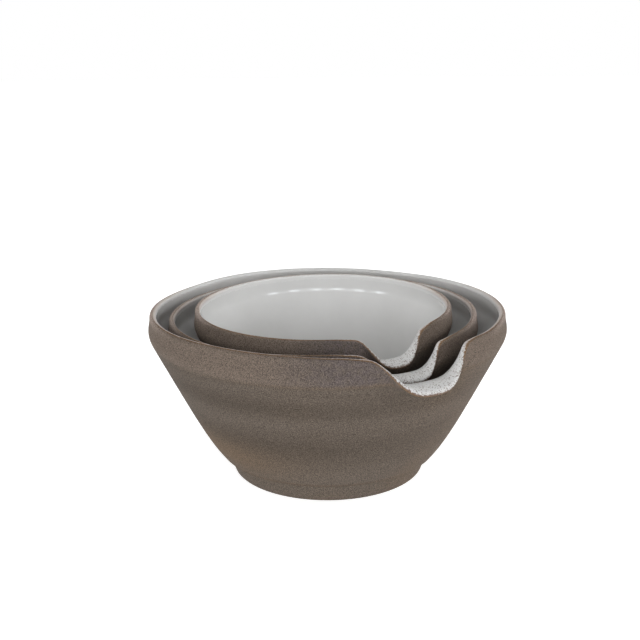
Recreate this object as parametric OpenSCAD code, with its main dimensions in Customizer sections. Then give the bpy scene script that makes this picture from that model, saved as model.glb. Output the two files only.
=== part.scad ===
// Set of three nesting stoneware bowls. Each has a turned foot, a straight leaning wall, an upright
// collar and a pulled pouring spout at the front (-Y). They stand one inside another.
// The origin is the centre of the large bowl's foot, and +Z is up.

/* [Large bowl] */
// Diameter over the collar
large_d = 250; // [240:1:262]
// Height from foot to rim
large_h = 118; // [116:1:126]

/* [Medium bowl] */
// Diameter over the collar
medium_d = 216.5; // [208:0.5:218]
// Height from foot to rim
medium_h = 104.5; // [102:0.5:107]
// Place of its foot on the large bowl's floor
medium_shift = [-1.2, 1.4]; // [-2:0.1:2]
// Tilt about X and Y, as it stands a little crooked
medium_tilt = [-0.3, -0.9]; // [-1:0.1:1]

/* [Small bowl] */
// Diameter over the collar
small_d = 181; // [174:0.5:184]
// Height from foot to rim
small_h = 100; // [97:0.5:103]
// Place of its foot on the medium bowl's floor
small_shift = [-2, 0.3]; // [-2:0.1:2]
// Tilt about X and Y, as it stands a little crooked
small_tilt = [0.2, -0.9]; // [-1:0.1:1]
// Turn about Z, which carries its spout towards +X
small_turn = 1.5; // [-3:0.5:3]

/* [Wall] */
// Thickness of clay and glaze together at the rim
rim_t = 4.8; // [4:0.1:5.4]
// Extra thickness that the wall gains towards the foot
foot_extra_t = 2.2; // [0:0.1:3]
// Thickness of the floor
floor_t = 9; // [7:0.5:10]
// Thickness of the glaze coat inside
glaze_t = 0.5; // [0.3:0.1:0.8]
// Height of the upright collar, as a share of the bowl's height
collar_share = 0.14; // [0.12:0.01:0.18]
// How far the rim leans in from the collar's widest line
rim_inset = 0.6; // [0:0.1:2]

/* [Spout] */
// How far the lip drops below the rim, as a share of the bowl's diameter
spout_drop = 0.092; // [0.08:0.002:0.096]
// How far the lip reaches out past the rim, as a share of the bowl's diameter
spout_reach = 0.028; // [0.02:0.002:0.032]
// Half-width of the spout on its -X side, in degrees
spout_left = 21; // [18:0.5:22]
// Half-width of the spout on its +X side, in degrees
spout_right = 13; // [12:0.5:20]
// How full the spout's outline is
spout_fullness = 1.6; // [1.4:0.1:1.8]
// Angle that the lip rolls over, from the vertical
lip_roll = 114; // [100:2:118]

/* [Hidden] */

clay = [0.47, 0.40, 0.34];
glaze = [0.80, 0.80, 0.77];

rest_gap = 0.4;         // clearance under a nested bowl's foot
spout_half = 22.5;      // the spout's fine facets reach this angle each side
spout_step = 2.5;       // angle between them
round_step = 7.5;       // angle between the facets of the round wall

// Outside of a bowl, as shares of its rim radius or of its height
foot_share = 0.552;     // radius of the foot
foot_top_share = 0.578; // radius of the foot under the ledge
ledge_share = 0.616;    // radius of the wall just above the ledge
swell_share = 0.042;    // how far the wall swells out above the ledge
foot_rise = 0.112;      // height of the foot under the ledge
ledge_rise = 0.119;     // height of the ledge's edge
swell_rise = 0.11;      // height in which the swelling fades
inner_rise = 0.17;      // height where the inner wall turns into the floor
floor_turn = 0.03;      // length of that turn along the floor
join_low = 0.52;        // height where the wall starts to bend out under a spout
foot_bevel = 1.5;       // rounding of the foot's lower edge, in mm
bevel_middle = 0.3;     // place of that rounding's middle line, as a share of it
join_below = 2;         // the wall ends this far below the collar, in mm

// The bend from the wall into the collar or the lip
pull_power = 0.9;       // below 1, the pulled wall is wider than the lip's dip
round_handle = 0.45;    // length of its curve's handles away from the spout
spout_handle = 0.5;     // and in the middle of the spout

// Where the outline is sampled, each from 0 to 1 or in degrees round the lip
wall_steps = [0, 0.08, 0.25, 0.6, 1];
bend_steps = [0.25, 0.5, 0.75, 1];
glaze_edge = 45;
lip_angles = [90, 140];
inner_steps = [0.5];
turn_steps = [1, 0.5, 0];
angles = concat([for (a = [-spout_half:spout_step:spout_half - spout_step]) a],
                [for (a = [spout_half:round_step:360 - spout_half - round_step]) a]);

medium_z = floor_t + rest_gap + foot_dip(medium_d, medium_tilt);
small_z = medium_z + floor_t + rest_gap + foot_dip(small_d, small_tilt - medium_tilt);

// How far the edge of a tilted foot dips below the foot's centre
function foot_dip(d, tilt) = foot_share * d / 2 * sin(norm(tilt));

function mix(a, b, k) = a + (b - a) * k;
function unit(v) = v / norm(v);
function cubic(p, u) =
    pow(1 - u, 3) * p[0] + 3 * u * pow(1 - u, 2) * p[1] + 3 * u * u * (1 - u) * p[2] + pow(u, 3) * p[3];
function cubic_slope(p, u) =
    pow(1 - u, 2) * (p[1] - p[0]) + 2 * u * (1 - u) * (p[2] - p[1]) + u * u * (p[3] - p[2]);
function quadratic(p, u) = pow(1 - u, 2) * p[0] + 2 * u * (1 - u) * p[1] + u * u * p[2];
function reversed(list) = [for (i = [len(list) - 1:-1:0]) list[i]];

// In the functions below, r is a bowl's rim radius, h its height and z a height on its outside.
// An outline point is [radius, height].
function collar_z(h) = h * (1 - collar_share);
function wall_share(h, z) = (z - h * ledge_rise) / (collar_z(h) - h * ledge_rise);
function wall_run(r) = r * (1 - ledge_share - swell_share);
function swelling(h, z) = exp((h * ledge_rise - z) / (h * swell_rise));
function wall_point(r, h, z) =
    [r * ledge_share + wall_run(r) * wall_share(h, z) + r * swell_share * (1 - swelling(h, z)), z];
function wall_slope(r, h, z) =
    wall_run(r) / (collar_z(h) - h * ledge_rise) + r * swell_share / (h * swell_rise) * swelling(h, z);
function wall_along(r, h, z) = unit([wall_slope(r, h, z), 1]);
function outward(along) = [along[1], -along[0]];
function wall_t(h, z) = rim_t + foot_extra_t * pow(1 - wall_share(h, z), 2);

// Strength of the spout at an angle from its centre line: 1 in the middle and 0 where it ends
function spout_at(a) = let (k = min(1, abs(a) / (a < 0 ? spout_left : spout_right)))
    pow(cos(90 * pow(k, spout_fullness)), 2);
function pull_at(a) = pow(spout_at(a), pull_power);

// Height on the outside where the wall ends and the bend into the collar or the lip begins
function join_z(h, a) = mix(collar_z(h) - join_below, h * join_low, pull_at(a));

// Middle line of that bend, as the four points of a cubic curve
function bend(r, h, a) =
    let (pull = pull_at(a), z = join_z(h, a), along = wall_along(r, h, z), roll = lip_roll * pull,
         start = wall_point(r, h, z) - outward(along) * wall_t(h, z) / 2,
         end = [r - rim_inset - rim_t / 2 + 2 * r * spout_reach * pull,
                h - rim_t / 2 - 2 * r * spout_drop * spout_at(a)],
         handle = norm(end - start) * mix(round_handle, spout_handle, pull))
    [start, start + along * handle, end - [sin(roll), cos(roll)] * handle, end];

// A point beside the bend: side is 1 outside and -1 inside, and cut is left off the thickness
function bend_point(r, h, a, u, side, cut = 0) =
    let (line = bend(r, h, a), half = mix(wall_t(h, join_z(h, a)), rim_t, u) / 2 - cut)
    cubic(line, u) + side * half * outward(unit(cubic_slope(line, u)));

// A point round the lip, at an angle from the outside
function lip_point(r, h, a, angle, cut = 0) =
    let (line = bend(r, h, a), along = unit(line[3] - line[2]), half = rim_t / 2 - cut)
    line[3] + half * (cos(angle) * outward(along) + sin(angle) * along);

// A point of the inner wall, level with a height on the outside
function inner_point(r, h, z, cut = 0) =
    wall_point(r, h, z) - outward(wall_along(r, h, z)) * (wall_t(h, z) - cut);

// The clay's outside, from the foot to the edge of the glaze
function outside(r, h, a) =
    let (ledge = h * ledge_rise, join = join_z(h, a), foot = r * foot_share)
    concat(
        [[foot - foot_bevel, 0], [foot - foot_bevel * bevel_middle, foot_bevel * bevel_middle],
         [foot, foot_bevel], [r * foot_top_share, h * foot_rise]],
        [for (k = wall_steps) wall_point(r, h, mix(ledge, join, k))],
        [for (u = bend_steps) bend_point(r, h, a, u, 1)],
        [lip_point(r, h, a, glaze_edge)]);

// The inside, from the lip to the floor: the glaze's surface, or the clay's where cut is its thickness
function inside(r, h, a, cut = 0) =
    let (join = join_z(h, a), low = h * inner_rise, foot_end = inner_point(r, h, low, cut),
         along = wall_along(r, h, low), floor_z = floor_t - cut,
         corner = [foot_end[0] - along[0] / along[1] * (foot_end[1] - floor_z), floor_z],
         turn = [corner - [r * floor_turn, 0], corner, foot_end])
    concat(
        [for (angle = lip_angles) lip_point(r, h, a, angle, cut)],
        [for (u = reversed(bend_steps)) bend_point(r, h, a, u, -1, cut)],
        [inner_point(r, h, join, cut)],
        [for (k = inner_steps) inner_point(r, h, mix(low, join, k), cut)],
        [for (u = turn_steps) quadratic(turn, u)]);

// The clay's outline and the glaze's, each from its lower point on the axis to its upper one
function clay_outline(r, h, a) = concat(outside(r, h, a), inside(r, h, a, glaze_t));
function glaze_outline(r, h, a) =
    concat(reversed(inside(r, h, a, glaze_t)), [lip_point(r, h, a, glaze_edge)], inside(r, h, a));

// Sweeps one outline per angle right round the axis, between a low and a high point on it
module sweep(lines, low, high) {
    n = len(lines[0]);
    count = len(lines);
    points = concat(
        [for (j = [0:count - 1]) for (p = lines[j])
            [p[0] * sin(angles[j]), -p[0] * cos(angles[j]), p[1]]],
        [[0, 0, low], [0, 0, high]]);
    sides = [for (j = [0:count - 1]) for (k = [0:n - 2])
        let (a = j * n + k, b = (j + 1) % count * n + k)
        for (face = [[a, b + 1, b], [a, a + 1, b + 1]]) face];
    fans = [for (j = [0:count - 1]) let (a = j * n, b = (j + 1) % count * n)
        for (face = [[n * count, a, b], [n * count + 1, b + n - 1, a + n - 1]]) face];
    polyhedron(points, concat(sides, fans), convexity = 6);
}

module clay_layer(d, h) {
    sweep([for (a = angles) clay_outline(d / 2, h, a)], 0, floor_t - glaze_t);
}

module glaze_layer(d, h) {
    sweep([for (a = angles) glaze_outline(d / 2, h, a)], floor_t - glaze_t, floor_t);
}

module place_medium() {
    translate([medium_shift[0], medium_shift[1], medium_z])
        rotate([medium_tilt[0], medium_tilt[1], 0])
            children();
}

module place_small() {
    translate([small_shift[0], small_shift[1], small_z])
        rotate([small_tilt[0], small_tilt[1], small_turn])
            children();
}

module large_bowl() { color(clay) clay_layer(large_d, large_h); }
module large_glaze() { color(glaze) glaze_layer(large_d, large_h); }
module medium_bowl() { color(clay) place_medium() clay_layer(medium_d, medium_h); }
module medium_glaze() { color(glaze) place_medium() glaze_layer(medium_d, medium_h); }
module small_bowl() { color(clay) place_small() clay_layer(small_d, small_h); }
module small_glaze() { color(glaze) place_small() glaze_layer(small_d, small_h); }

large_bowl();
large_glaze();
medium_bowl();
medium_glaze();
small_bowl();
small_glaze();
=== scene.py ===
"""Set of three nesting stoneware bowls with pulled pouring spouts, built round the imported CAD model.

Each bowl is a matt clay body and a satin glaze coat. Lengths in the design values are in millimetres,
and meshes are in metres. An angle is measured from a bowl's front (-Y) towards +X.
"""

import math

import bmesh
import bpy
import numpy as np
from mathutils import Euler, Matrix, Vector


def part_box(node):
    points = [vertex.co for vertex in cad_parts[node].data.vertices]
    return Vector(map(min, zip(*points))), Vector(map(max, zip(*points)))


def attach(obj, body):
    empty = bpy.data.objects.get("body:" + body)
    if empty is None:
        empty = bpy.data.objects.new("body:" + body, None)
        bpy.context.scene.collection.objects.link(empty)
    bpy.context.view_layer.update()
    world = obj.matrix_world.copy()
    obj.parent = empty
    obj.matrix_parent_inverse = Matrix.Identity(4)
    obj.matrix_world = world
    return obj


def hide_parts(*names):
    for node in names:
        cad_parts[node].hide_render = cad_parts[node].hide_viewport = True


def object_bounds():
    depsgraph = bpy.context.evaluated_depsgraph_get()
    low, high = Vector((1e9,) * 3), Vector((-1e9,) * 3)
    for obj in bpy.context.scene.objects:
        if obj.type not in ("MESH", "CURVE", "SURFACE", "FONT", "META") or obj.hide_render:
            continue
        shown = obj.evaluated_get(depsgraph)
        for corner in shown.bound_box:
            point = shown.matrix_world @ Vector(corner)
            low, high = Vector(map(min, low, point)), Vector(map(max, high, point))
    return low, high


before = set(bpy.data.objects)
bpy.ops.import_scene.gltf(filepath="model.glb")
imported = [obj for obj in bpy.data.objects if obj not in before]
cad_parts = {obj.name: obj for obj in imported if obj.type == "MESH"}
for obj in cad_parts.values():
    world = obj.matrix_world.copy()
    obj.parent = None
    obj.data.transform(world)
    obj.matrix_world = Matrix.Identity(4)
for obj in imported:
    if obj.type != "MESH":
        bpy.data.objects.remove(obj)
cad_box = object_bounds()
MM = 0.001

# ---------------------------------------------------------------- design of the bowls

# What each bowl's fields mean. A pair in span, full, shoulder or soft is for the spout's left and right.
#   d, h, rim   width of the collar, height, and thickness of the rim
#   tilt, turn  how the bowl stands in the set, as turns about X and Y, and about Z
#   lean        angle of the spout's middle
#   span        angles from the spout's middle to its shoulders
#   full        how full each side of the spout is, where 1 is a plain cosine
#   shoulder    share of the drop that is left at each shoulder
#   soft        angles over which the shoulders fade into the rim
#   drop, reach how far the spout's middle lies below the rim, and stands out past it
#   roll        how far the spout's lip has turned over, from straight up
#   low         height at which the spout leaves the wall, as a share of h
#   seed        start of the bowl's random draws
#   rim_light   radius of the arc over which the painted highlight on the rim fades out
#   glazed      how far round the rim the glaze starts, from the outside, at the sides and at the back
#   swells      slow rises and falls of the rim: angle, height and width of each
#   fill        extra thickness inside the wall, just under the collar
BOWLS = {
    "large": dict(
        d=250, h=118, rim=4.6, tilt=(0, 0), turn=0,
        lean=-3.6, span=(17.6, 16.5), full=(1.35, 2.0), shoulder=(0.055, 0.04), soft=(3.5, 2.5),
        drop=22.6, reach=8.6, roll=111, low=0.52, seed=1, rim_light=2.4, glazed=(88, 35),
        swells=((-62, 0.9, 22), (24, -0.9, 12), (-26, -0.9, 12), (120, -0.4, 15), (182, 0.9, 32),
                (-150, -1.4, 20)),
        fill=0),
    "medium": dict(
        d=217.2, h=104.5, rim=3.9, tilt=(-0.3, -0.9), turn=0,
        lean=-1.1, span=(20.2, 12.8), full=(1.35, 1.95), shoulder=(0.05, 0.06), soft=(4.5, 6),
        drop=19.2, reach=6.4, roll=113, low=0.52, seed=2, rim_light=4.6, glazed=(120, 112),
        swells=((-62, -0.9, 14), (28, -1.2, 20)),
        fill=0),
    "small": dict(
        d=181, h=100, rim=3.5, tilt=(0.2, -0.9), turn=1.5,
        lean=-2.8, span=(17.0, 14.0), full=(1.5, 1.9), shoulder=(0.045, 0.10), soft=(5, 5.5),
        drop=18.5, reach=5.9, roll=111, low=0.52, seed=3, rim_light=2.4, glazed=(124, 104),
        swells=((60, -0.6, 20),),
        fill=0.9),
}

# Thicknesses, and small lengths.
FLOOR_T = 9
GLAZE_T = 0.5
FOOT_EXTRA_T = 2.2
RIM_INSET = 0.6
FOOT_BEVEL = 1.0
LEDGE_CORNER = (0.05, 0.12)
JOIN_BELOW = 2

# Shares of a bowl's radius: the foot, its top, the ledge over it, and how far the wall swells out.
FOOT_SHARE = 0.552
FOOT_TOP_SHARE = 0.594
LEDGE_SHARE = 0.627
SWELL_SHARE = 0.034
FLOOR_TURN = 0.03

# Shares of a bowl's height.
COLLAR_SHARE = 0.14
FOOT_RISE = 0.118
LEDGE_RISE = 0.125
SWELL_RISE = 0.11
INNER_RISE = 0.17
FILL_RISE = 0.3

# The bend from the wall to the rim: its handles as shares of its length, round the bowl, inside and
# at the spout, and how quickly it follows the spout's drop.
ROUND_HANDLE = 0.45
INSIDE_HANDLE = 0.36
SPOUT_HANDLE = 0.5
PULL_POWER = 0.9

# The camera stands this many degrees to the left of the spouts. An outline's angle counts from the
# bowl's front, and its azimuth from the camera's side.
SPOUT_TURN = 31.7

# Where the glaze starts round the rim, in degrees from the outside: in front, and in the spout on its
# left flank, in its middle and on its right. It wanders by these angles round the bowl and in the spout.
GLAZE_EDGE_FRONT = 80
GLAZE_EDGE_FLANK = 72
GLAZE_EDGE_SPOUT = 76
GLAZE_EDGE_RIGHT = 56
GLAZE_WANDER, SPOUT_WANDER = 5, 3
# The angles over which it changes: at the shoulders (from inside them, then out on the left and on the
# right), beside the spout's middle on its left and on its right. Then the shares of the way round to the
# back over which it changes to its values at the sides and at the back.
SHOULDER_IN, SHOULDER_OUT = -4, (12, 7)
LEFT_FADE, RIGHT_FADE = (-13, -3), (2, 10)
SIDE_FADE, BACK_FADE = (0.1, 0.4), (0.6, 0.9)
# Azimuths over which a bowl turns from its front to its sides and back. The rim's painted highlight lies at
# the sides and back.
AT_SIDE = (50, 82)

# The outlines' angles: close together out to FINE_HALF on each side of the front, then wider apart. The
# spout's drop is averaged over NEAR degrees to each side, with SOFTEN as the spread.
FINE_HALF, FINE_STEP, COARSE_COUNT = 34, 0.6, 180
NEAR, NEAR_COUNT, SOFTEN = 2.5, 21, 2.1

# Points along an outline: round the lip, down the bend, down the wall, in the turn and on the floor.
FINE_POINTS = (18, 34, 60, 12, 16)
COARSE_POINTS = (8, 20, 8, 6, 3)
WALL_POINTS, BEND_POINTS, LIP_POINTS = 110, 34, 5

# Points of the foot, as shares of each stretch: its underside, its side from the bevel up, and the shelf
# under the ledge, which rises by a part of the ledge's height over the foot.
UNDER_SHARES = (0.04, 0.2, 0.4, 0.6, 0.8, 0.93)
BEVEL_POINTS, SIDE_POINTS, SIDE_FROM = 6, 12, 0.06
SHELF_SHARES, SHELF_RISE = (0.12, 0.4, 0.7, 0.88), 0.5
FLOOR_MIDDLE = 0.03

# The rim's small unevenness and the glaze edge's wandering: how many sines, and the lowest one's cycles.
RIM_WAVE = 0.1
RIM_SINES, EDGE_SINES = (6, 3), (14, 5)

# The throwing rings: their lengths, depth and drift round the wall, their strength, which changes over
# RING_CHANGE up the wall, and the distances over which they fade out at the ledge and at the lip.
RING_LENGTHS = (5.3, 8.7, 13.0, 21.0)
RING_DEPTH = 0.022
RING_DRIFT, RING_DRIFT_TWICE = 0.5, 0.35
RING_STRENGTH, RING_VARIES, RING_CHANGE, RING_POWER = 0.7, 0.3, 17, 0.8
LEDGE_FADE, LIP_FADE = (1, 6), (1, 9)

# The groove that the glaze's edge leaves: its depth, distance from the edge and width.
GROOVE_DEPTH, GROOVE_AT, GROOVE_WIDTH = 0.12, 0.7, 0.5


def mix(a, b, k):
    return a + (b - a) * k


def smoothstep(low, high, x):
    k = np.clip((x - low) / (high - low), 0, 1)
    return k * k * (3 - 2 * k)


def bell(x, middle, width):
    """1 at the middle, falling to about a third at the width to each side and then to 0."""
    return np.exp(-(((x - middle) / width) ** 2))


def cubic(p, k):
    return (1 - k) ** 3 * p[0] + 3 * k * (1 - k) ** 2 * p[1] + 3 * k**2 * (1 - k) * p[2] + k**3 * p[3]


def unit(v):
    return v / np.linalg.norm(v, axis=-1, keepdims=True)


def outward(along):
    """The direction to the right of another: outwards where an outline goes up."""
    return np.stack([along[..., 1], -along[..., 0]], -1)


def waves(x, seed, cycles, low):
    """A smooth wandering value between about -1 and 1, from a few sines with seeded phases."""
    rng = np.random.default_rng(seed)
    total = np.zeros_like(x, dtype=float)
    for i in range(cycles):
        total += np.sin(x * (low + i) + rng.uniform(0, 2 * math.pi)) * rng.uniform(0.4, 1)
    return total / math.sqrt(cycles)


class Bowl:
    """Outline points of one bowl as arrays [angle, point, (radius, height)], in millimetres."""

    def __init__(self, spec):
        self.s = spec
        self.r, self.h, self.rim = spec["d"] / 2, spec["h"], spec["rim"]
        fine = np.arange(-FINE_HALF, FINE_HALF + 0.01, FINE_STEP)
        coarse = np.linspace(FINE_HALF, 360 - FINE_HALF, COARSE_COUNT)[1:-1]
        self.a = np.concatenate([fine, coarse])
        self.side = np.where(self.a > 180, self.a - 360, self.a)
        near = np.linspace(-NEAR, NEAR, NEAR_COUNT)
        weight = np.exp(-0.5 * (near / SOFTEN) ** 2)
        self.spout = self.spout_share(self.side[:, None] + near) @ (weight / weight.sum())
        self.pull = self.spout**PULL_POWER
        self.collar = self.h * (1 - COLLAR_SHARE)
        self.ledge = self.h * LEDGE_RISE
        self.join = mix(self.collar - JOIN_BELOW, self.h * spec["low"], self.pull)
        self.back = 0.5 - 0.5 * np.cos(np.radians(self.a + SPOUT_TURN))
        self.azimuth = (self.side + SPOUT_TURN + 180) % 360 - 180
        self.at_side = smoothstep(*AT_SIDE, np.abs(self.azimuth))
        turn = np.radians(self.a)
        self.rim_wave = RIM_WAVE * waves(turn, spec["seed"], *RIM_SINES)
        for angle, height, width in spec["swells"]:
            self.rim_wave += height * bell((self.a - angle + 180) % 360 - 180, 0, width)
        self.edge_angle = self.glaze_edge(turn)

    def glaze_edge(self, turn):
        """How far round the rim the glaze starts, in degrees from the outside."""
        aside = self.side - self.s["lean"]
        past = np.abs(aside) - np.where(aside < 0, *self.s["span"])
        in_spout = 1 - smoothstep(SHOULDER_IN, np.where(aside < 0, *SHOULDER_OUT), past)
        flank, right = smoothstep(*LEFT_FADE, aside), smoothstep(*RIGHT_FADE, aside)
        beside, behind = smoothstep(*SIDE_FADE, self.back), smoothstep(*BACK_FADE, self.back)
        side_edge, back_edge = self.s["glazed"]
        round_rim = mix(mix(GLAZE_EDGE_FRONT, side_edge, beside), back_edge, behind)
        spout_edge = mix(mix(GLAZE_EDGE_FLANK, GLAZE_EDGE_SPOUT, flank), GLAZE_EDGE_RIGHT, right)
        wander = mix(GLAZE_WANDER, SPOUT_WANDER, in_spout) * waves(turn, self.s["seed"] + 10, *EDGE_SINES)
        return mix(round_rim, spout_edge, in_spout) + wander

    def spout_share(self, side):
        """How far the rim has dropped towards the spout's lowest point, from 0 to 1."""
        aside = side - self.s["lean"]
        left = aside < 0
        keys = ("span", "full", "shoulder", "soft")
        span, full, shoulder, soft = (np.where(left, *self.s[key]) for key in keys)
        core = np.cos(np.pi / 2 * np.minimum(1, np.abs(aside) / span) ** full) ** 2
        tail = shoulder * bell(np.abs(aside), span, soft)
        return core + tail * (1 - core)

    def share(self, z):
        """How far up the wall a height is, from 0 at the ledge to 1 at the collar."""
        return (z - self.ledge) / (self.collar - self.ledge)

    def swell(self, z):
        return np.exp((self.ledge - z) / (self.h * SWELL_RISE))

    def wall(self, z):
        """The outside of the wall: a cone that bellies out quickly above the ledge."""
        run = self.r * (1 - LEDGE_SHARE - SWELL_SHARE)
        swollen = self.r * SWELL_SHARE * (1 - self.swell(z))
        return np.stack([self.r * LEDGE_SHARE + run * self.share(z) + swollen, z], -1)

    def along(self, z):
        """The wall's direction upwards."""
        run = self.r * (1 - LEDGE_SHARE - SWELL_SHARE)
        swelling = self.r * SWELL_SHARE / (self.h * SWELL_RISE) * self.swell(z)
        return unit(np.stack([run / (self.collar - self.ledge) + swelling, np.ones_like(z)], -1))

    def thickness(self, z):
        return self.rim + FOOT_EXTRA_T * (1 - self.share(z)) ** 2

    def fill(self, z):
        """Extra thickness inside the wall just under the collar, none at the spout; z is [angle, point]."""
        most = self.s["fill"] * (1 - self.pull)[:, None]
        return most * smoothstep(self.h * FILL_RISE, self.collar - JOIN_BELOW, z)

    def inner(self, z, cut=0.0, fill=0.0):
        """The inside of the wall; cut is how far a surface lies under the glaze's."""
        return self.wall(z) - outward(self.along(z)) * (self.thickness(z) + fill - cut)[..., None]

    def bend_line(self):
        """The four points of the cubic curve in the middle of the bend, one row per angle."""
        along = self.along(self.join)
        start = self.wall(self.join) - outward(along) * self.thickness(self.join)[:, None] / 2
        roll = np.radians(self.s["roll"] * self.pull)
        end = np.stack([
            self.r - RIM_INSET - self.rim / 2 + self.s["reach"] * self.pull,
            self.h - self.rim / 2 - self.s["drop"] * self.spout + self.rim_wave,
        ], -1)
        handle = np.linalg.norm(end - start, axis=1) * mix(ROUND_HANDLE, SPOUT_HANDLE, self.pull)
        lip = np.stack([np.sin(roll), np.cos(roll)], -1)
        return start, start + along * handle[:, None], end - lip * handle[:, None], end

    def round_inside(self, u, cut):
        """The inside of the bend away from the spout: one even curve from the wall to the rim."""
        line, join = self.bend_line(), self.join[:, None]
        start = self.inner(join, cut, self.fill(join))[:, 0]
        rise, lip = self.along(self.join), unit(line[3] - line[2])
        end = line[3] - (self.rim / 2 - cut) * outward(lip)
        handle = INSIDE_HANDLE * np.linalg.norm(end - start, axis=1)[:, None]
        p = [q[:, None, :] for q in (start, start + rise * handle, end - lip * handle, end)]
        return cubic(p, u[None, :, None])

    def bend(self, u, side, cut=0.0):
        """Points along the bend, outside where side is 1 and inside where it is -1."""
        p = [q[:, None, :] for q in self.bend_line()]
        k = u[None, :, None]
        point = cubic(p, k)
        slope = (1 - k) ** 2 * (p[1] - p[0]) + 2 * k * (1 - k) * (p[2] - p[1]) + k**2 * (p[3] - p[2])
        half = mix(self.thickness(self.join)[:, None], self.rim, u[None, :]) / 2 - cut
        shell = point + side * half[..., None] * outward(unit(slope))
        return shell if side > 0 else mix(self.round_inside(u, cut), shell, self.pull[:, None, None])

    def lip(self, angles, cut=0.0):
        """Points round the lip; angles is [angle, point] in degrees from the outside."""
        line = self.bend_line()
        along = unit(line[3] - line[2])[:, None, :]
        t = np.radians(angles)[..., None]
        return line[3][:, None, :] + (self.rim / 2 - cut) * (np.cos(t) * outward(along) + np.sin(t) * along)

    def rows(self, points):
        """The same outline points at every angle."""
        return np.repeat(np.array(points, float)[None], len(self.a), 0)

    def foot(self):
        """From near the middle of the underside, round the foot's bevel and up to the ledge."""
        foot, top = self.r * FOOT_SHARE, self.h * FOOT_RISE
        centre = foot - FOOT_BEVEL
        under = [[centre * k, 0.0] for k in UNDER_SHARES]
        bevel = [[centre + FOOT_BEVEL * math.sin(t), FOOT_BEVEL * (1 - math.cos(t))]
                 for t in np.linspace(0, math.pi / 2, BEVEL_POINTS)]
        side = [[mix(foot, self.r * FOOT_TOP_SHARE, k), mix(FOOT_BEVEL, top, k)]
                for k in np.linspace(SIDE_FROM, 1, SIDE_POINTS)]
        edge = self.r * LEDGE_SHARE
        inner_edge = self.r * FOOT_TOP_SHARE
        rise = self.ledge - top
        shelf = [[mix(inner_edge, edge, k), top + rise * SHELF_RISE * k] for k in SHELF_SHARES]
        corner = [[edge - LEDGE_CORNER[0], self.ledge - LEDGE_CORNER[1]]]
        return self.rows(under + bevel + side + shelf + corner)

    def outside(self):
        """From the middle of the underside to the glaze's edge on the lip."""
        z = mix(self.ledge, self.join[:, None], np.linspace(0, 1, WALL_POINTS)[None, :])
        lip = self.edge_angle[:, None] * np.linspace(0.2, 1, LIP_POINTS)[None]
        bend = self.bend(np.linspace(0, 1, BEND_POINTS)[1:], 1)
        return np.concatenate([self.foot(), self.wall(z), bend, self.lip(lip)], 1)

    def inside(self, cut, fine):
        """From just inside the glaze's edge to the middle of the floor."""
        in_lip, in_bend, in_wall, in_turn, in_floor = FINE_POINTS if fine else COARSE_POINTS
        low = np.array([self.h * INNER_RISE])
        lip = mix(self.edge_angle[:, None], 180, np.linspace(0, 1, in_lip)[None, 1:])
        z = mix(low[0], self.join[:, None], np.linspace(1, 0, in_wall)[None])
        end, along = self.inner(low, cut)[0], self.along(low)[0]
        floor_z = FLOOR_T - cut
        corner = np.array([end[0] - along[0] / along[1] * (end[1] - floor_z), floor_z])
        start = corner - [self.r * FLOOR_TURN, 0]
        u = np.linspace(1, 0, in_turn)[1:, None]
        turn = (1 - u) ** 2 * start + 2 * u * (1 - u) * corner + u**2 * end
        radii = start[0] * np.linspace(1, FLOOR_MIDDLE, in_floor)[1:]
        floor = np.stack([radii, np.full(in_floor - 1, floor_z)], -1)
        return np.concatenate([
            self.lip(lip, cut), self.bend(np.linspace(1, 0, in_bend)[1:], -1, cut),
            self.inner(z, cut, self.fill(z))[:, 1:], self.rows(turn), self.rows(floor),
        ], 1)


# ---------------------------------------------------------------- meshes


def normals_of(line):
    """Outward normals along outlines, from the points beside each point."""
    step = np.gradient(line, axis=1)
    return outward(unit(step))


def arc(line):
    """Distance along each outline from its first point."""
    gaps = np.linalg.norm(np.diff(line, axis=1), axis=2)
    return np.concatenate([np.zeros((len(line), 1)), np.cumsum(gaps, 1)], 1)


def to_end(line):
    """Distance along each outline to its last point."""
    return arc(line)[:, -1:] - arc(line)


def throwing_rings(bowl, line, seed):
    """Shallow rings left by the potter's fingers, which climb a little round the wall."""
    z, a = line[..., 1], np.radians(bowl.a)[:, None]
    rng = np.random.default_rng(seed)
    total = np.zeros_like(z)
    for length in RING_LENGTHS:
        phase = rng.uniform(0, 2 * math.pi)
        drift = RING_DRIFT * np.sin(a + rng.uniform(0, 6))
        drift = drift + RING_DRIFT_TWICE * np.sin(2 * a + rng.uniform(0, 6))
        strength = RING_STRENGTH + RING_VARIES * np.sin(z / RING_CHANGE + rng.uniform(0, 6) + a)
        share = (length / RING_LENGTHS[-1]) ** RING_POWER
        total += np.sin(2 * math.pi * z / length + phase + drift + a) * strength * share
    return total * RING_DEPTH


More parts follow.
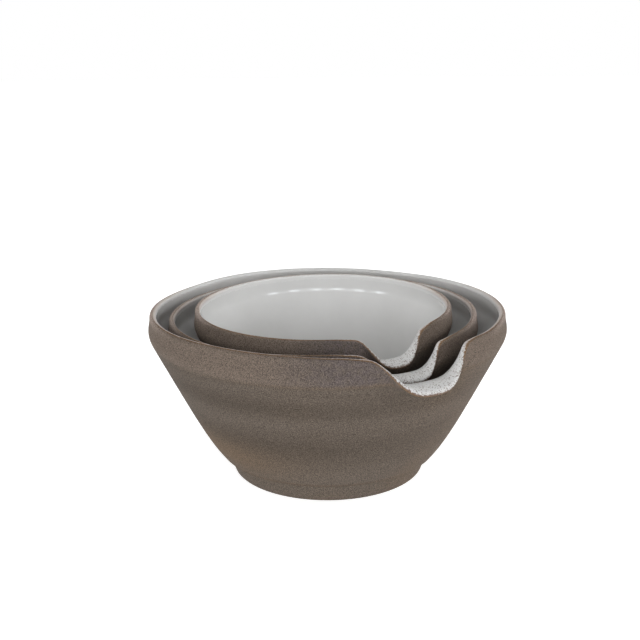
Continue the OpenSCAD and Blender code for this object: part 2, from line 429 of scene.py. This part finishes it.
def revolve(name, bowl, line, low, high, facts, material):
    """A closed mesh from one outline per angle, with a point on the axis at each end."""
    count, n = line.shape[:2]
    turn = np.radians(bowl.a)[:, None]
    xyz = np.stack([line[..., 0] * np.sin(turn), -line[..., 0] * np.cos(turn), line[..., 1]], -1)
    points = np.concatenate([xyz.reshape(-1, 3), [[0, 0, low], [0, 0, high]]])
    j, k = np.meshgrid(np.arange(count), np.arange(n - 1), indexing="ij")
    a, b = j * n + k, (j + 1) % count * n + k
    quads = np.stack([a, b, b + 1, a + 1], -1).reshape(-1, 4)
    first = np.arange(count) * n
    after = (np.arange(count) + 1) % count * n
    bottom, top = np.full(count, n * count), np.full(count, n * count + 1)
    fans = np.concatenate([np.stack([bottom, after, first], -1),
                           np.stack([top, first + n - 1, after + n - 1], -1)])
    mesh = bpy.data.meshes.new(name)
    mesh.from_pydata((points * MM).tolist(), [], quads.tolist() + fans.tolist())
    mesh.update()
    mesh.shade_smooth()
    for key, values in facts.items():
        ends = [float(values[:, 0].mean()), float(values[:, -1].mean())]
        field = mesh.attributes.new(key, "FLOAT", "POINT")
        field.data.foreach_set("value", np.concatenate([values.ravel(), ends]).astype(np.float32))
    mesh.materials.append(material)
    piece = bpy.data.objects.new(name, mesh)
    bpy.context.scene.collection.objects.link(piece)
    work = bmesh.new()
    work.from_mesh(mesh)
    bmesh.ops.recalc_face_normals(work, faces=work.faces)
    work.to_mesh(mesh)
    work.free()
    return piece


def tilt(piece, spec):
    """Stands a piece as its bowl stands in the set."""
    angles = [math.radians(v) for v in (*spec["tilt"], spec["turn"])]
    piece.data.transform(Euler(angles, "XYZ").to_matrix().to_4x4())


def shift_to(piece, node):
    """The move after which a piece's sides, back and foot meet its CAD node's box."""
    points = np.zeros(len(piece.data.vertices) * 3)
    piece.data.vertices.foreach_get("co", points)
    points = points.reshape(-1, 3)
    low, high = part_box(node)
    return Matrix.Translation(Vector((
        (low.x + high.x - points[:, 0].min() - points[:, 0].max()) / 2,
        high.y - points[:, 1].max(),
        low.z - points[:, 2].min(),
    )))


# ---------------------------------------------------------------- materials


class Nodes:
    """Short calls to build a material's nodes."""

    def __init__(self, name):
        self.material = bpy.data.materials.new(name)
        self.material.use_nodes = True
        self.tree = self.material.node_tree
        self.tree.nodes.clear()
        out = self.tree.nodes.new("ShaderNodeOutputMaterial")
        self.shader = self.tree.nodes.new("ShaderNodeBsdfPrincipled")
        self.tree.links.new(self.shader.outputs[0], out.inputs[0])
        self.place = self.tree.nodes.new("ShaderNodeTexCoord").outputs["Object"]

    def set(self, socket, value):
        if isinstance(value, bpy.types.NodeSocket):
            self.tree.links.new(value, socket)
        else:
            socket.default_value = value

    def math(self, kind, a, b):
        node = self.tree.nodes.new("ShaderNodeMath")
        node.operation = kind
        self.set(node.inputs[0], a)
        self.set(node.inputs[1], b)
        return node.outputs[0]

    def fact(self, name):
        node = self.tree.nodes.new("ShaderNodeAttribute")
        node.attribute_name = name
        return node.outputs["Fac"]

    def ramp(self, value, low, high, out_low=0.0, out_high=1.0, smooth=True):
        node = self.tree.nodes.new("ShaderNodeMapRange")
        node.interpolation_type = "SMOOTHSTEP" if smooth else "LINEAR"
        for i, v in enumerate((value, low, high, out_low, out_high)):
            self.set(node.inputs[i], v)
        return node.outputs[0]

    def stretched(self, x, y, z):
        node = self.tree.nodes.new("ShaderNodeMapping")
        self.set(node.inputs["Vector"], self.place)
        node.inputs["Scale"].default_value = (x, y, z)
        return node.outputs[0]

    def noise(self, scale, detail, rough, vector=None, warp=0.0):
        node = self.tree.nodes.new("ShaderNodeTexNoise")
        self.set(node.inputs["Vector"], vector or self.place)
        node.inputs["Scale"].default_value = scale
        node.inputs["Detail"].default_value = detail
        node.inputs["Roughness"].default_value = rough
        node.inputs["Distortion"].default_value = warp
        return node.outputs["Fac"]

    def spots(self, scale):
        """The distance to the nearest cell's point, and a random value for that cell."""
        node = self.tree.nodes.new("ShaderNodeTexVoronoi")
        self.set(node.inputs["Vector"], self.place)
        node.inputs["Scale"].default_value = scale
        pick = self.tree.nodes.new("ShaderNodeSeparateColor")
        self.set(pick.inputs[0], node.outputs["Color"])
        return node.outputs["Distance"], pick.outputs[0]

    def blend(self, share, a, b, kind="MIX"):
        node = self.tree.nodes.new("ShaderNodeMix")
        node.data_type, node.blend_type = "RGBA", kind
        self.set(node.inputs[0], share)
        self.set(node.inputs[6], a if isinstance(a, bpy.types.NodeSocket) else (*a, 1))
        self.set(node.inputs[7], b if isinstance(b, bpy.types.NodeSocket) else (*b, 1))
        return node.outputs[2]

    def bump(self, height, strength, distance):
        node = self.tree.nodes.new("ShaderNodeBump")
        node.inputs["Strength"].default_value = strength
        node.inputs["Distance"].default_value = distance
        self.set(node.inputs["Height"], height)
        return node.outputs[0]

    def finish(self, colour, roughness, normal, specular):
        self.set(self.shader.inputs["Base Color"], colour)
        self.set(self.shader.inputs["Roughness"], roughness)
        self.set(self.shader.inputs["Normal"], normal)
        self.shader.inputs["Specular IOR Level"].default_value = specular
        return self.material


CLAY = (0.128, 0.105, 0.086)
# The pale colour is the collar's paler clay, and painted light on the right side of the wall.
CLAY_PALE_AND_LIT = (0.158, 0.126, 0.103)
CLAY_WARM = (0.158, 0.112, 0.074)
CLAY_COOL = (0.120, 0.099, 0.094)
# A painted highlight: the pale colour of the rim where light catches it at the bowls' sides and back.
RIM_HIGHLIGHT = (0.395, 0.327, 0.292)
CLAY_DARK = (0.092, 0.074, 0.059)
EDGE_BROWN = (0.200, 0.124, 0.070)
WHITE = (0.65, 0.645, 0.637)
WHITE_CLOUD = tuple(c * 0.95 for c in WHITE)
WHITE_LIP = tuple(c * 0.78 for c in WHITE)
THIN = (0.54, 0.475, 0.44)
IRON = (0.150, 0.100, 0.075)

# Each noise: its scale in cycles per metre, detail and roughness. The streaks are stretched round the wall
# instead, and bent by STREAK_WARP. Most of a noise's values lie in the range NOISE.
CLAY_GRAIN, CLAY_MOTTLE, CLAY_BROAD = (1600, 3, 0.75), (260, 3, 0.6), (9, 2, 0.5)
CLAY_STREAKS, STREAK_STRETCH, STREAK_WARP = (1, 3, 0.55), (4, 4, 60), 0.4
GLAZE_GRAIN, GLAZE_CLOUD = (900, 3, 0.7), (45, 3, 0.55)
NOISE = (0.3, 0.7)

# The parts of a noise's range over which a colour sets in, up to COLOUR_SHARE. The cool colour has at
# least COOL_LEAST of its share, and the grain makes the clay as dark and as light as CLAY_LIGHT.
STREAK_RANGE, BROAD_RANGE, CLOUD_RANGE, COLOUR_SHARE = (0.45, 0.7), (0.5, 0.75), (0.35, 0.7), 0.5
COOL_RANGE, COOL_LEAST = (0.3, 0.65), 0.4
CLAY_LIGHT = (0.18, 1.78)

# The brown line along the glaze's edge, on the clay and on the glaze: the distances over which it fades,
# how ragged it is, and how much of it is left on the bowls' sides and back, where the rim has its painted
# highlight. In the spout the glaze's is more ragged, and lies further out by SPOUT_OUT.
CLAY_BROWN, CLAY_RAGGED = (0.3, 1.1), 0.35
GLAZE_BROWN, GLAZE_RAGGED = (0.25, 0.9), 0.7
BROWN_AT_SIDE = 0.2
SPOUT_RAGGED, SPOUT_OUT = 1.5, 0.45

# Distances from the glaze's edge over which the thin glaze, the lip's shade, the specks near the edge and
# all of the specks, and the matt of the spout fade, and over which the glaze grows smooth.
THIN_FADE, LIP_SHADE, SPECK_NEAR, SPECK_END = (0.8, 3.6), (0.5, 6), (5, 24), (20, 36)
MATT_END, SMOOTH_END = (12, 24), (0.5, 7)

# The iron specks: how close together each kind's cells are, and how many of them stay empty.
SPECKS = ((1400, 0.12), (900, 0.65))
SPECK_SIZE, SPECK_STRENGTH, SPECK_FAR, SPECK_SOFT = 0.46, 0.8, 0.45, (-0.06, 0.08)

# Roughness, bump (strength and distance), what the finer noise adds to the bump, and specular level.
CLAY_ROUGH, CLAY_BUMP, MOTTLE_HEIGHT, CLAY_SPECULAR = (0.78, 0.92), (0.5, 0.00018), 0.6, 0.25
GLAZE_ROUGH, GLAZE_BUMP, GRAIN_HEIGHT, GLAZE_SPECULAR = (0.5, 0.15), (0.25, 0.0006), 0.05, 0.5


def clay_material(name):
    m = Nodes(name)
    grain, mottle, broad = m.noise(*CLAY_GRAIN), m.noise(*CLAY_MOTTLE), m.noise(*CLAY_BROAD)
    streaks = m.noise(*CLAY_STREAKS, m.stretched(*STREAK_STRETCH), STREAK_WARP)
    colour = m.blend(m.ramp(streaks, *STREAK_RANGE, 0, COLOUR_SHARE), CLAY, CLAY_DARK)
    # Dark bands up the wall, part clay colour and part painted shade, and a painted shadow line under the
    # ledge.
    colour = m.blend(m.fact("bands_and_shade"), colour, CLAY_DARK)
    colour = m.blend(m.ramp(broad, *BROAD_RANGE, 0, COLOUR_SHARE), colour, CLAY_WARM)
    colour = m.blend(m.fact("warm"), colour, CLAY_WARM)
    # Paler clay on the collar, and painted light on the right side of the wall below it.
    colour = m.blend(m.fact("pale_and_lit"), colour, CLAY_PALE_AND_LIT)
    cool = m.math("MULTIPLY", m.fact("cool"), m.ramp(mottle, *COOL_RANGE, COOL_LEAST, 1))
    colour = m.blend(cool, colour, CLAY_COOL)
    # Painted highlight: the rim's clay is paler at the sides and back, where the light catches it.
    colour = m.blend(m.fact("rim_light"), colour, RIM_HIGHLIGHT)
    ragged = m.math("ADD", m.fact("edge"), m.ramp(grain, *NOISE, -CLAY_RAGGED, CLAY_RAGGED))
    at_side = m.ramp(m.fact("side"), 0, 1, 1, BROWN_AT_SIDE)
    brown = m.math("MULTIPLY", m.ramp(ragged, *CLAY_BROWN, 1, 0), at_side)
    colour = m.blend(brown, colour, EDGE_BROWN)
    colour = m.blend(1.0, colour, m.ramp(grain, *NOISE, *CLAY_LIGHT, False), "MULTIPLY")
    height = m.math("ADD", grain, m.math("MULTIPLY", mottle, MOTTLE_HEIGHT))
    rough = m.ramp(grain, *NOISE, *CLAY_ROUGH)
    return m.finish(colour, rough, m.bump(height, *CLAY_BUMP), CLAY_SPECULAR)


def glaze_material(name):
    m = Nodes(name)
    grain, cloud = m.noise(*GLAZE_GRAIN), m.noise(*GLAZE_CLOUD)
    edge, spout = m.fact("edge"), m.fact("spout")
    more_ragged = m.ramp(spout, 0, 0.3, 1, SPOUT_RAGGED)
    ragged = m.math("MULTIPLY", m.ramp(grain, *NOISE, -GLAZE_RAGGED, GLAZE_RAGGED), more_ragged)
    wander = m.math("SUBTRACT", m.math("ADD", edge, ragged), m.ramp(spout, 0.1, 0.5, 0, SPOUT_OUT))
    colour = m.blend(m.ramp(cloud, *CLOUD_RANGE, 0, COLOUR_SHARE), WHITE, WHITE_CLOUD)
    thin = m.math("MULTIPLY", m.ramp(wander, *THIN_FADE, 1, 0), m.fact("thin"))
    colour = m.blend(thin, colour, THIN)
    lip = m.math("MULTIPLY", m.ramp(spout, 0.1, 0.4), m.ramp(edge, *LIP_SHADE, 1, 0))
    colour = m.blend(lip, colour, WHITE_LIP)
    dots = m.math("MULTIPLY", m.ramp(spout, 0.02, 0.2), m.ramp(edge, *SPECK_NEAR, 1, SPECK_FAR))
    for scale, empty in SPECKS:
        distance, chance = m.spots(scale)
        size = m.ramp(chance, empty, 1, 0.0, SPECK_SIZE)
        reach = m.math("MULTIPLY", size, m.math("MULTIPLY", dots, m.ramp(edge, *SPECK_END, 1, 0)))
        speck = m.ramp(m.math("SUBTRACT", reach, distance), *SPECK_SOFT)
        colour = m.blend(m.math("MULTIPLY", speck, SPECK_STRENGTH), colour, IRON)
    at_side = m.ramp(m.fact("side"), 0, 1, 1, BROWN_AT_SIDE)
    brown = m.math("MULTIPLY", m.ramp(wander, *GLAZE_BROWN, 1, 0), at_side)
    colour = m.blend(brown, colour, m.blend(m.ramp(spout, 0.2, 0.6), EDGE_BROWN, IRON))
    matt = m.math("MULTIPLY", m.ramp(spout, 0.05, 0.4, 0, GLAZE_ROUGH[0]), m.ramp(edge, *MATT_END, 1, 0))
    rough = m.math("MAXIMUM", m.ramp(wander, *SMOOTH_END, *GLAZE_ROUGH), matt)
    height = m.math("ADD", cloud, m.math("MULTIPLY", grain, GRAIN_HEIGHT))
    return m.finish(colour, rough, m.bump(height, *GLAZE_BUMP), GLAZE_SPECULAR)


# ---------------------------------------------------------------- what the materials read at each point

# Patches of the clay's colours and of painted light and shade, each as its middle and width: by the angle
# from the front (or the azimuth for the dark bands), by the share of the bowl's height, or by the distance
# over the ledge or the collar. The paler patch on the right is painted light on that side of the wall, a
# wide one round
# RIGHT_AT, and the ledge's line is the width of a painted shadow in the crease under the ledge.
COOL_AT, RIGHT_AT, BANDS_AT, LEFT_AT, FRONT_AT = (-24, 17), 80, (-22, 38), (-84, 34), (0, 60)
UPPER_BAND, LOWER_BAND, LEFT_PATCH = (0.69, 0.07), (0.41, 0.09), (0.27, 0.13)
LEDGE_SHADOW, LEDGE_WARM, COLLAR_WARM, COLLAR_STARTS = 1.5, (0.5, 1.3), (-2, 1.3), (-4, 1)
# How strong they are. The dark bands are BANDS_LEAST strong round the bowl and BANDS_MORE more on the side
# that faces the camera, where the extra darkness is painted shade.
BANDS_LEAST, BANDS_MORE, LOWER_MORE = 0.4, 0.6, 1.2
WARM_LEFT, WARM_LEDGE, WARM_COLLAR = 0.75, 0.3, 0.5
# Where the glaze is thin: not in the spout, and less towards the back.
THIN_SPOUT, THIN_BACK, THIN_LESS = (0.05, 0.4), (0.5, 0.9), 0.9


def spread(values, like):
    """One value per angle, repeated for each point of an outline."""
    return np.repeat(values[:, None], like.shape[1], 1)


def clay_facts(bowl, line, edge):
    """Shares of the clay's colours, painted light and shade among them; edge is the distance to the glaze's
    edge.
    """
    z = line[..., 1]
    up = z / bowl.h
    collar = smoothstep(bowl.collar + COLLAR_STARTS[0], bowl.collar + COLLAR_STARTS[1], z)
    beside_spout = bell(bowl.side, *COOL_AT)[:, None]
    # Painted light: the right side of the wall is paler, as if lit from that side.
    lit_right_wall = (0.5 + 0.5 * np.cos(np.radians(bowl.side - RIGHT_AT)))[:, None] ** 4
    # Painted shade: the dark bands are stronger on the side of the bowl that faces the camera.
    shade_towards_camera = BANDS_LEAST + BANDS_MORE * bell(bowl.azimuth, *BANDS_AT)[:, None]
    bands = bell(up, *UPPER_BAND) + LOWER_MORE * bell(up, *LOWER_BAND)
    left_patch = WARM_LEFT * bell(bowl.side, *LEFT_AT)[:, None] * bell(up, *LEFT_PATCH)
    over_ledge = WARM_LEDGE * bell(z - bowl.ledge, *LEDGE_WARM)
    under_collar = WARM_COLLAR * bell(z - bowl.collar, *COLLAR_WARM) * bell(bowl.side, *FRONT_AT)[:, None]
    # Painted highlight: a paler rim at the bowl's sides and back, away from the side that faces the camera.
    rim_light = (bowl.s["rim_light"] * np.radians(bowl.edge_angle))[:, None]
    return {
        "edge": edge,
        "cool": collar * beside_spout,
        # paler clay on the collar, and painted light on the right side of the wall
        "pale_and_lit": collar * (1 - beside_spout) + (1 - collar) * lit_right_wall,
        "rim_light": bell(edge, 0, rim_light) * bowl.at_side[:, None],
        "side": spread(bowl.at_side, edge),
        "warm": left_patch + over_ledge + under_collar,
        # dark bands, partly painted shade, and a painted shadow line in the crease under the ledge
        "bands_and_shade": shade_towards_camera * bands + bell(z, bowl.ledge, LEDGE_SHADOW),
    }


def glaze_facts(bowl, edge):
    """Where the spout is, and where the glaze is thin; edge is the distance to its edge."""
    thin = (1 - smoothstep(*THIN_SPOUT, bowl.pull)) * (1 - THIN_LESS * smoothstep(*THIN_BACK, bowl.back))
    return {
        "edge": edge,
        "spout": spread(bowl.pull, edge),
        "side": spread(bowl.at_side, edge),
        "thin": spread(thin, edge),
    }


# ---------------------------------------------------------------- the pieces

# The side of the glaze that lies on the clay is out of sight, so its points count as far from the edge.
FAR_FROM_EDGE = 50.0

for name, spec in BOWLS.items():
    bowl = Bowl(spec)

    outer = bowl.outside()
    rings = throwing_rings(bowl, outer, spec["seed"] * 7)
    above_ledge = smoothstep(bowl.ledge + LEDGE_FADE[0], bowl.ledge + LEDGE_FADE[1], outer[..., 1])
    below_lip = smoothstep(*LIP_FADE, to_end(outer))
    outer = outer + normals_of(outer) * (rings * above_ledge * below_lip)[..., None]
    under = bowl.inside(GLAZE_T, False)
    line = np.concatenate([outer, under], 1)
    edge = np.concatenate([to_end(outer), np.zeros(under.shape[:2])], 1)
    clay = revolve(name + "_clay_body", bowl, line, 0, FLOOR_T - GLAZE_T, clay_facts(bowl, line, edge),
                   clay_material(name + "_clay"))

    front = np.concatenate([bowl.lip(bowl.edge_angle[:, None]), bowl.inside(0, True)], 1)
    distance = arc(front)
    groove = -GROOVE_DEPTH * bell(distance, GROOVE_AT, GROOVE_WIDTH)
    front = front + normals_of(front) * groove[..., None]
    line = np.concatenate([under[:, ::-1], front], 1)
    edge = np.concatenate([np.full(under.shape[:2], FAR_FROM_EDGE), distance], 1)
    glaze = revolve(name + "_glaze_coat", bowl, line, FLOOR_T - GLAZE_T, FLOOR_T, glaze_facts(bowl, edge),
                    glaze_material(name + "_glaze"))

    tilt(clay, spec)
    tilt(glaze, spec)
    shift = shift_to(clay, name + "_bowl")
    for piece, node in ((clay, name + "_bowl"), (glaze, name + "_glaze")):
        piece.data.transform(shift)
        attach(piece, name)
        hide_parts(node)

# ---------------------------------------------------------------- floor

FLOOR_RINGS = (0.3, 1.0, 3.0, 7.0, 14.0)
FLOOR_SPOKES = 48
FLOOR_GREY, FLOOR_GLOW, FLOOR_ROUGH = 0.5, 0.78, 0.9
floor_mesh = bpy.data.meshes.new("floor")
points = [(0, 0, 0)]
for radius in FLOOR_RINGS:
    for i in range(FLOOR_SPOKES):
        turn = 2 * math.pi * i / FLOOR_SPOKES
        points.append((radius * math.cos(turn), radius * math.sin(turn), 0))
faces = [(0, 1 + i, 1 + (i + 1) % FLOOR_SPOKES) for i in range(FLOOR_SPOKES)]
for k in range(len(FLOOR_RINGS) - 1):
    for i in range(FLOOR_SPOKES):
        a, b = 1 + k * FLOOR_SPOKES + i, 1 + k * FLOOR_SPOKES + (i + 1) % FLOOR_SPOKES
        faces.append((a, a + FLOOR_SPOKES, b + FLOOR_SPOKES, b))
floor_mesh.from_pydata(points, [], faces)
floor = bpy.data.objects.new("floor", floor_mesh)
bpy.context.scene.collection.objects.link(floor)
floor.location.z = cad_box[0].z
paper = bpy.data.materials.new("paper")
paper.use_nodes = True
paper_shader = paper.node_tree.nodes["Principled BSDF"]
paper_shader.inputs["Base Color"].default_value = (FLOOR_GREY, FLOOR_GREY, FLOOR_GREY, 1)
paper_shader.inputs["Emission Color"].default_value = (1.0, 1.0, 1.0, 1)
paper_shader.inputs["Emission Strength"].default_value = FLOOR_GLOW
paper_shader.inputs["Roughness"].default_value = FLOOR_ROUGH
floor_mesh.materials.append(paper)

# ---------------------------------------------------------------- light

# The sky's strength near the horizon and higher up, and the heights between which it changes. The
# camera sees plain white instead.
SKY_LOW, SKY_HIGH = 0.84, 0.42
SKY_FROM, SKY_TO = 0.1, 0.8
world = bpy.data.worlds.new("studio")
world.use_nodes = True
tree = world.node_tree
sky, out = tree.nodes["Background"], tree.nodes["World Output"]
sky.inputs["Color"].default_value = (1.0, 1.0, 0.99, 1)
aim = tree.nodes.new("ShaderNodeTexCoord")
parts = tree.nodes.new("ShaderNodeSeparateXYZ")
strength = tree.nodes.new("ShaderNodeMapRange")
strength.interpolation_type = "SMOOTHSTEP"
for i, value in enumerate((SKY_FROM, SKY_TO, SKY_LOW, SKY_HIGH)):
    strength.inputs[i + 1].default_value = value
backdrop = tree.nodes.new("ShaderNodeBackground")
backdrop.inputs["Color"].default_value = (1.0, 1.0, 1.0, 1)
seen = tree.nodes.new("ShaderNodeLightPath")
choice = tree.nodes.new("ShaderNodeMixShader")
tree.links.new(aim.outputs["Generated"], parts.inputs[0])
tree.links.new(parts.outputs[2], strength.inputs[0])
tree.links.new(strength.outputs[0], sky.inputs["Strength"])
tree.links.new(seen.outputs["Is Camera Ray"], choice.inputs[0])
tree.links.new(sky.outputs[0], choice.inputs[1])
tree.links.new(backdrop.outputs[0], choice.inputs[2])
tree.links.new(choice.outputs[0], out.inputs["Surface"])
bpy.context.scene.world = world

# Each lamp: its azimuth and height in degrees from the camera's side, its width, height and power, and
# whether it is only mirrored in the glaze. The others only light the bowls.
LAMP_DISTANCE = 2.4
MIRRORED_COLOUR, SOFT_COLOUR = (0.90, 0.95, 1.0), (0.97, 0.985, 1.0)
LAMPS = [(azimuth, 12, 0.46, 0.6, 6, True) for azimuth in (-58, -36, -14, 8, 30, 52)] + [
    (0, 14, 3.4, 0.95, 38, False),
    (0, 90, 1.0, 1.0, 6, False),
    (108, 16, 1.2, 0.9, 19, False),
    (-108, 16, 1.2, 0.9, 10, False),
]
centre = (cad_box[0] + cad_box[1]) / 2
for i, (azimuth, height, wide, tall, power, mirrored) in enumerate(LAMPS):
    lamp = bpy.data.lights.new(f"window{i}", "AREA")
    lamp.shape, lamp.size, lamp.size_y = "RECTANGLE", wide, tall
    lamp.energy = power
    lamp.color = MIRRORED_COLOUR if mirrored else SOFT_COLOUR
    holder = bpy.data.objects.new(f"window{i}", lamp)
    holder.visible_glossy, holder.visible_diffuse = mirrored, not mirrored
    turn = math.radians(azimuth - SPOUT_TURN)
    rise = math.radians(height)
    away = Vector((math.sin(turn) * math.cos(rise), -math.cos(turn) * math.cos(rise), math.sin(rise)))
    holder.location = centre + away * LAMP_DISTANCE
    holder.rotation_euler = away.to_track_quat("Z", "Y").to_euler()
    bpy.context.scene.collection.objects.link(holder)

# ---------------------------------------------------------------- camera

# The camera stands 0.65 m in front of the bowls' axis, to the left of their spouts, looking down.
CAMERA_BACK, CAMERA_UP = 0.650, 0.28642
PITCH, YAW, ROLL = (math.radians(v) for v in (15.434, -0.4495, -0.5123))
SENSOR, LENS = 36, 53.27
GAMMA = 0.86
forward = Vector((math.sin(YAW) * math.cos(PITCH), math.cos(YAW) * math.cos(PITCH), -math.sin(PITCH)))
right = Vector((math.cos(YAW), -math.sin(YAW), 0))
up = right.cross(forward)
right, up = (right * math.cos(ROLL) + up * math.sin(ROLL), up * math.cos(ROLL) - right * math.sin(ROLL))
camera_data = bpy.data.cameras.new("camera")
camera_data.sensor_width = SENSOR
camera_data.lens = LENS
camera = bpy.data.objects.new("camera", camera_data)
stance = Matrix(((right.x, up.x, -forward.x, 0), (right.y, up.y, -forward.y, -CAMERA_BACK),
                 (right.z, up.z, -forward.z, CAMERA_UP), (0, 0, 0, 1)))
camera.matrix_world = Matrix.Rotation(math.radians(-SPOUT_TURN), 4, "Z") @ stance
bpy.context.scene.collection.objects.link(camera)
bpy.context.scene.camera = camera
bpy.context.scene.view_settings.view_transform = "Standard"
bpy.context.scene.view_settings.gamma = GAMMA
